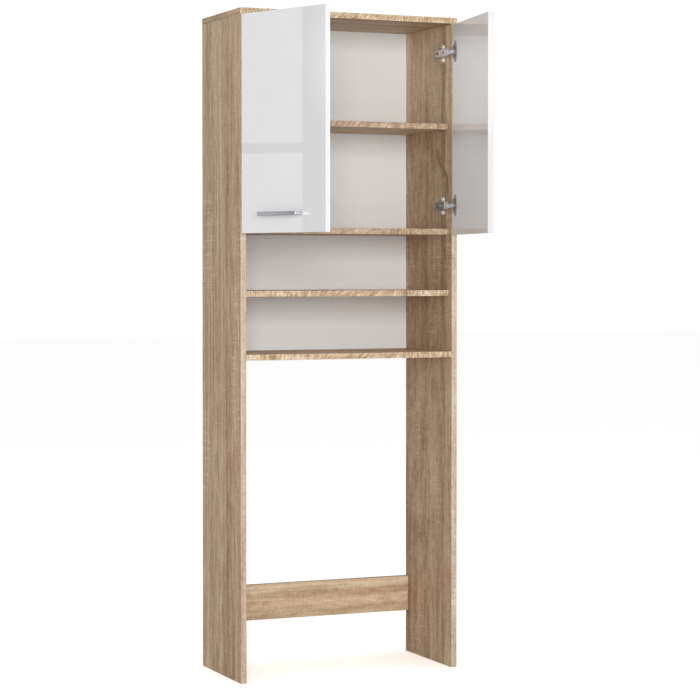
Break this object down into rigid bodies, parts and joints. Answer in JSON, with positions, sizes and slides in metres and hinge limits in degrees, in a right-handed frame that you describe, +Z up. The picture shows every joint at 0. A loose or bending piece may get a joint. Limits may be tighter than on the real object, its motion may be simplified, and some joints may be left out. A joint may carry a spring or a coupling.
{
  "type": "washing machine cabinet",
  "caption": "Tall narrow bathroom cabinet with an open appliance bay at the floor, open shelves above it and a hinged two-door cupboard at the top.",
  "frame": {"origin": "on the floor, under the middle of the footprint of the cabinet with both doors standing open as stored", "axes": "+Z up, +Y from the doors towards the wall, +X to the right for someone who faces the doors"},
  "size_m": [0.6518, 0.6246, 1.8],
  "materials": {
    "oak_board": "chipboard with a matt, pale oak laminate and matching edge band",
    "back_board": "thin hardboard, painted white",
    "white_gloss_front": "chipboard with a high-gloss white laminate on all faces",
    "satin_handle": "satin bar",
    "nickel_hinge": "pressed steel, nickel plated",
    "zinc_fastener": "zinc plated",
    "beech_dowel": "bare beech"
  },
  "bodies": {
    "cabinet": {"left_side_panel": "oak_board", "right_side_panel": "oak_board", "top_panel": "oak_board", "bottom_panel": "oak_board", "open_shelf": "oak_board", "cupboard_floor": "oak_board", "inner_shelf": "oak_board", "rear_rail": "oak_board", "back_panel": "back_board", "bottom_panel_dowel_left": "beech_dowel", "bottom_panel_dowel_right": "beech_dowel", "open_shelf_dowel_left": "beech_dowel", "open_shelf_dowel_right": "beech_dowel", "cupboard_floor_dowel_left": "beech_dowel", "cupboard_floor_dowel_right": "beech_dowel", "shelf_pin_left_front": "zinc_fastener", "shelf_pin_left_rear": "zinc_fastener", "shelf_pin_right_front": "zinc_fastener", "shelf_pin_right_rear": "zinc_fastener", "left_lower_hinge_arm": "nickel_hinge", "left_lower_hinge_plate": "nickel_hinge", "left_lower_hinge_arm_pin": "zinc_fastener", "left_lower_hinge_plate_screw_bottom": "zinc_fastener", "left_lower_hinge_plate_screw_top": "zinc_fastener", "left_upper_hinge_arm": "nickel_hinge", "left_upper_hinge_plate": "nickel_hinge", "left_upper_hinge_arm_pin": "zinc_fastener", "left_upper_hinge_plate_screw_bottom": "zinc_fastener", "left_upper_hinge_plate_screw_top": "zinc_fastener", "right_lower_hinge_arm": "nickel_hinge", "right_lower_hinge_plate": "nickel_hinge", "right_lower_hinge_arm_pin": "zinc_fastener", "right_lower_hinge_plate_screw_bottom": "zinc_fastener", "right_lower_hinge_plate_screw_top": "zinc_fastener", "right_upper_hinge_arm": "nickel_hinge", "right_upper_hinge_plate": "nickel_hinge", "right_upper_hinge_arm_pin": "zinc_fastener", "right_upper_hinge_plate_screw_bottom": "zinc_fastener", "right_upper_hinge_plate_screw_top": "zinc_fastener"},
    "left_links": {"left_lower_hinge_link": "nickel_hinge", "left_upper_hinge_link": "nickel_hinge"},
    "left_door": {"left_door": "white_gloss_front", "left_handle": "satin_handle", "left_handle_screw_outer": "zinc_fastener", "left_handle_screw_inner": "zinc_fastener", "left_lower_hinge_cup": "nickel_hinge", "left_lower_hinge_cup_pin": "zinc_fastener", "left_upper_hinge_cup": "nickel_hinge", "left_upper_hinge_cup_pin": "zinc_fastener"},
    "right_links": {"right_lower_hinge_link": "nickel_hinge", "right_upper_hinge_link": "nickel_hinge"},
    "right_door": {"right_door": "white_gloss_front", "right_handle": "satin_handle", "right_handle_screw_outer": "zinc_fastener", "right_handle_screw_inner": "zinc_fastener", "right_lower_hinge_cup": "nickel_hinge", "right_lower_hinge_cup_pin": "zinc_fastener", "right_upper_hinge_cup": "nickel_hinge", "right_upper_hinge_cup_pin": "zinc_fastener"}
  },
  "joints": [
    {"name": "left_link_pivot", "type": "hinge", "parent": "cabinet", "child": "left_links", "pos_m": [-0.2942, 0.00895, 1.491], "axis": [0, 0, -1], "range_deg": [-8.91, 19.1]},
    {"name": "left_door_pivot", "type": "hinge", "parent": "left_links", "child": "left_door", "pos_m": [-0.31239, -0.00422, 1.491], "axis": [0, 0, -1], "range_deg": [-87.29, 40.7]},
    {"name": "right_link_pivot", "type": "hinge", "parent": "cabinet", "child": "right_links", "pos_m": [0.2838, 0.00895, 1.491], "axis": [0, 0, 1], "range_deg": [-5.35, 22.66]},
    {"name": "right_door_pivot", "type": "hinge", "parent": "right_links", "child": "right_door", "pos_m": [0.30114, -0.00532, 1.491], "axis": [0, 0, 1], "range_deg": [-103.55, 24.44]}
  ],
  "couplings": [
    {"joint": "left_link_pivot", "follows": "left_door_pivot", "ratio": -0.21875},
    {"joint": "right_link_pivot", "follows": "right_door_pivot", "ratio": -0.21875}
  ]
}
